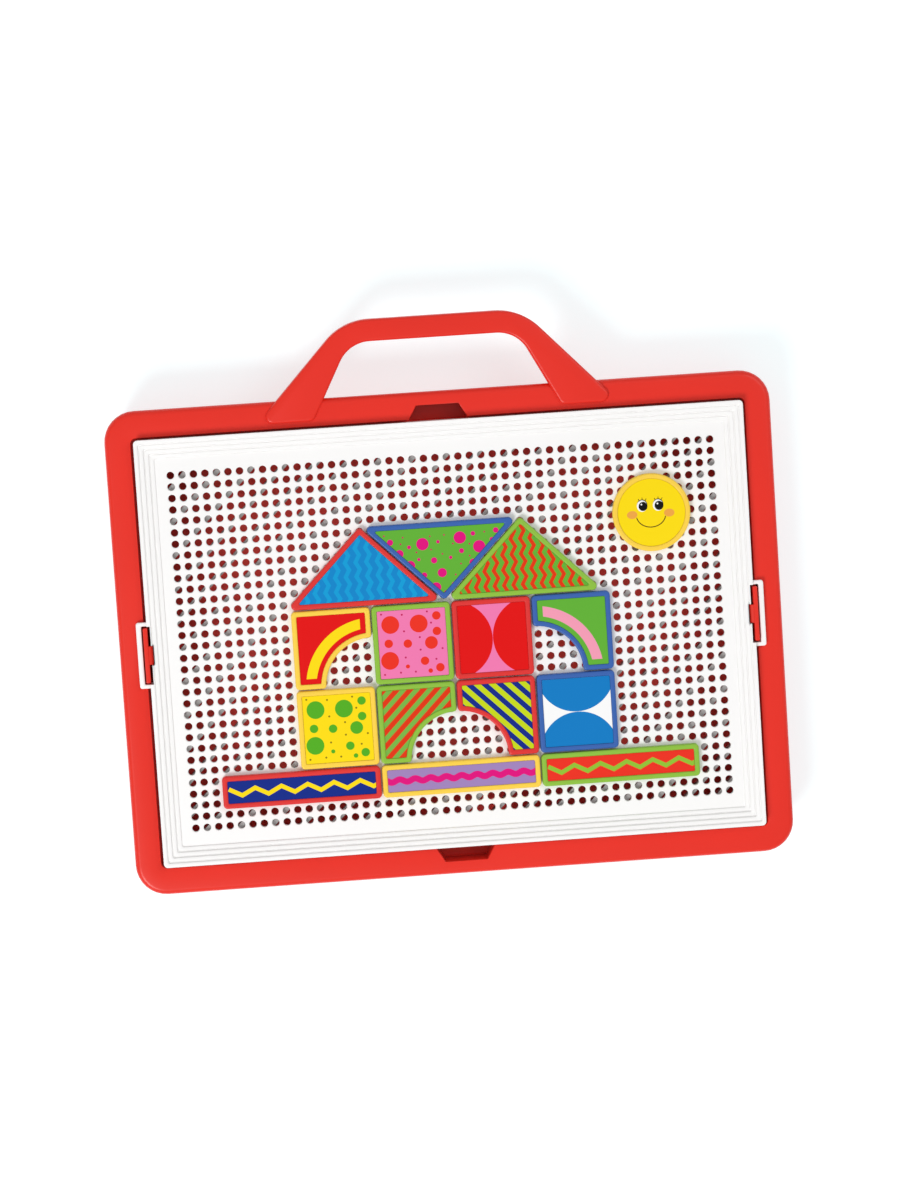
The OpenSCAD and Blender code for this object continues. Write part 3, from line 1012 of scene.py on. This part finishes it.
def two_discs(colour_name, upright):
    """Two big discs that meet in the middle of the tile."""
    gap, r = 17.15, 17.1
    places = [(0, gap), (0, -gap)] if upright else [(gap, 0), (-gap, 0)]
    return [(colour_name, disc(x, y, r, steps=96)) for x, y in places]


def sunny_face():
    """Plain smiling face: two eyes with lashes, cheeks and a smile."""
    shapes = []
    for x in (-3.9, 3.1):
        shapes.append(("black", disc(x, 3.35, 2.3, 2.55)))
        shapes.append(("white", disc(x - 0.1, 3.0, 2.25, 2.5)))
        shapes.append(("black", disc(x + 0.35, 2.85, 1.95, 2.0)))
        shapes.append(("white", disc(x - 0.3, 3.7, 0.38, steps=14)))
        for dx, lean in ((-1.1, -0.5), (0.1, 0.0), (1.3, 0.6)):
            foot = 5.6 if lean == 0 else 5.1
            shapes.append(("black", stroke([(x + dx, foot), (x + dx + lean, foot + 1.1)], 0.28)))
    for x in (-8.5, 7.7):
        shapes.append(("peach", disc(x, -0.6, 2.3, 1.75)))
    smile = [(-0.3 + 6.4 * math.cos(a), -1.0 + 5.4 * math.sin(a))
             for a in (math.radians(190 + 160 * k / 24) for k in range(25))]
    shapes.append(("brown", stroke(smile, 0.42)))
    return shapes


def anticlockwise(points):
    area = sum(a[0] * b[1] - a[1] * b[0] for a, b in zip(points, points[1:] + points[:1]))
    return points if area > 0 else points[::-1]


def painted_faces(bm, outlines, inks, x, y, z):
    """Triangulates the first outline, cut by the others; each face takes the last ink on it."""
    coords = []
    faces = []
    for points in outlines:
        faces.append(list(range(len(coords), len(coords) + len(points))))
        coords += [Vector(p) for p in points]
    verts, _, tris, _, _, sources = delaunay_2d_cdt(coords, [], faces, 0, 1e-7)
    made = [bm.verts.new((v.x + x, v.y + y, z)) for v in verts]
    for tri, source in zip(tris, sources):
        if 0 not in source:
            continue
        face = bm.faces.new([made[k] for k in tri])
        face.material_index = inks[max(source)]
    bmesh.ops.delete(bm, geom=[v for v in bm.verts if not v.link_faces], context="VERTS")


def close_below(bm, z, ink_index):
    """Gives a flat sheet its side wall and its underside."""
    rim = [e for e in bm.edges if e.is_boundary]
    for g in bmesh.ops.extrude_edge_only(bm, edges=rim)["geom"]:
        if isinstance(g, bmesh.types.BMVert):
            g.co.z = z
        if isinstance(g, bmesh.types.BMFace):
            g.material_index = ink_index
    low_rim = [e for e in bm.edges if e.is_boundary]
    for face in bmesh.ops.contextual_create(bm, geom=low_rim)["faces"]:
        face.material_index = ink_index


def tile_print(name, shape, base, pattern, slot_name):
    """Flat print cut to the tile's recess. Its colours are faces of one mesh."""
    x, y, hx, hy, _, top = tile_middle(name + "_tile", shape)
    edge = tile_ring(shape, hx, hy, BORDER_W + PRINT_GAP, PRINT_R)
    outlines = [edge] + [anticlockwise(points) for _, points in pattern]
    inks = [base] + [colour_name for colour_name, _ in pattern]
    used = sorted(set(inks))
    floor = top - INLAY_DROP
    bm = bmesh.new()
    painted_faces(bm, outlines, [used.index(i) for i in inks], x, y, floor + INLAY_T)
    close_below(bm, floor + HAIR, used.index(base))
    return finished(name + "_face", bm, [INK[i] for i in used], name + "_tile", slot_name,
                    [name + "_print"])


# Tile, shape, plastic, base ink, pattern and the slot of its print.
TILES = [
    ("sun", "disc", "tile_yellow", "yellow", sunny_face(), "print_yellow"),
    ("zigzag_triangle", "peak", "tile_red", "cyan",
     zigzags("deep_blue", 4.65, 2.3, 1.7, 3.1, 30, 16, 0.6), "print_blue"),
    ("dotted_triangle", "valley", "tile_blue", "green", blots(), "print_green"),
    ("wavy_triangle", "peak", "tile_green", "green",
     zigzags("orange", 4.1, 1.65, 1.9, 3.35, 30, 16, 0.4), "print_green"),
    ("yellow_arch", "arch_right", "tile_yellow", "red", rainbow("yellow", 1), "print_red"),
    ("pink_dot", "square", "tile_green", "pink", dots("scarlet", "wine"), "print_pink"),
    ("red_disc", "square", "tile_red", "pink", two_discs("red", False), "print_red"),
    ("blue_arch", "arch_left", "tile_blue", "green", rainbow("pale_pink", -1), "print_green"),
    ("yellow_dot", "square", "tile_yellow", "yellow", dots("dot_green", "olive"), "print_yellow"),
    ("green_stripe", "arch_right", "tile_green", "leaf",
     stripes("orange", 1, 6.06, 2.25, 0.9), "print_green"),
    ("red_stripe", "arch_left", "tile_red", "lime",
     stripes("navy", -1, 6.5, 2.3, -3.05), "print_navy"),
    ("blue_disc", "square", "tile_blue", "white", two_discs("blue", True), "print_blue"),
    ("red_bar", "bar", "tile_red", "navy", wave("yellow", 5.75, 3.0, 1.9, 2.6), "print_navy"),
    ("yellow_bar", "bar", "tile_yellow", "lilac",
     wave("magenta", 3.4, 1.2, 2.8, 0, True), "print_lilac"),
    ("green_bar", "bar", "tile_green", "scarlet", wave("apple", 5.75, 3.0, 1.9, 2.6), "print_red"),
]


# ---------------------------------------------------------------- stage, light, camera

FLOOR_HALF = 4
FLOOR_T = 0.02
FLOOR_BASE = (0.44, 0.55, 0.56, 1)
FLOOR_GLOW = 0.62
FLOOR_GLOW_COLOUR = (0.97, 0.99, 1, 1)


def floor():
    """Pale floor that glows a little, so that it stays white round the object."""
    bm = bmesh.new()
    square = rectangle(-FLOOR_HALF, FLOOR_HALF, -FLOOR_HALF, FLOOR_HALF)
    loft(bm, [(square, -FLOOR_T), (square, 0.0)])
    mesh = bpy.data.meshes.new("floor")
    bm.to_mesh(mesh)
    bm.free()
    pale = surface("pale_floor", FLOOR_BASE, 0.7, spread=0.004, grain=0.02, grain_scale=300)
    shader = pale.node_tree.nodes["Principled BSDF"]
    shader.inputs["Emission Color"].default_value = FLOOR_GLOW_COLOUR
    shader.inputs["Emission Strength"].default_value = FLOOR_GLOW
    mesh.materials.append(pale)
    made = bpy.data.objects.new("floor", mesh)
    bpy.context.scene.collection.objects.link(made)


def area_light(name, place, aim, size, power):
    data = bpy.data.lights.new(name, "AREA")
    data.shape = "DISK"
    data.size = size
    data.energy = power
    light = bpy.data.objects.new(name, data)
    light.location = place
    light.rotation_euler = (Vector(aim) - Vector(place)).to_track_quat("-Z", "Y").to_euler()
    bpy.context.scene.collection.objects.link(light)
    return light


WORLD_LEVEL = 0.54
TUB_GLOW = 0.014
TUB_GLOW_SIZE = (0.2, 0.13)


def tub_light():
    """Weak studio light in the tub, which brightens what shows through the holes."""
    place = (0, CASE_Y, LEDGE_Z - 2 * MM)
    light = area_light("light_through_the_board", place, (0, CASE_Y, 0), TUB_GLOW_SIZE[0], TUB_GLOW)
    light.data.shape = "RECTANGLE"
    light.data.size_y = TUB_GLOW_SIZE[1]


def studio():
    """Even world light, a key light at the front left and a broad fill at the back right."""
    world = bpy.data.worlds.new("studio")
    world.use_nodes = True
    world.node_tree.nodes["Background"].inputs["Color"].default_value = (1, 1, 1, 1)
    world.node_tree.nodes["Background"].inputs["Strength"].default_value = WORLD_LEVEL
    bpy.context.scene.world = world
    area_light("key", (-1.0, -1.2, 1.9), (0, 0, 0), 0.9, 32)
    area_light("fill", (1.3, 0.9, 1.8), (0, 0, 0), 1.6, 11)
    tub_light()
    bpy.context.scene.view_settings.view_transform = "Standard"


CAMERA_BACK = (-0.0376, 0.1078, 0.9935)
CAMERA_DISTANCE = 1.664
CAMERA_ROLL = math.radians(3.71)
CAMERA_LENS = 114.45
AIM_BEYOND_MIDDLE = 15 * MM


def camera():
    """Nearly straight above the board, a little beyond the handle."""
    back = Vector(CAMERA_BACK).normalized()
    up_hint = Vector((math.sin(CAMERA_ROLL), math.cos(CAMERA_ROLL), 0))
    right = up_hint.cross(back).normalized()
    up = back.cross(right)
    aim = Vector((0, CASE_Y + AIM_BEYOND_MIDDLE, FIELD_Z))
    data = bpy.data.cameras.new("camera")
    data.lens = CAMERA_LENS
    data.clip_start = 0.01
    seen = bpy.data.objects.new("camera", data)
    turn = Matrix((right, up, back)).transposed().to_4x4()
    seen.matrix_world = Matrix.Translation(aim + back * CAMERA_DISTANCE) @ turn
    bpy.context.scene.collection.objects.link(seen)
    bpy.context.scene.camera = seen


camera()
studio()
floor()
case_shell()
grip_handle()
snap_lug("left_lug_tab", -1, "lug_left", "snap_lug_left")
snap_lug("right_lug_tab", 1, "lug_right", "snap_lug_right")
board_border()
hole_plate()
for tile_name, tile_shape, plastic_name, base_ink, artwork, print_slot in TILES:
    tile_shell(tile_name, tile_shape, plastic_name)
    tile_print(tile_name, tile_shape, base_ink, artwork, print_slot)
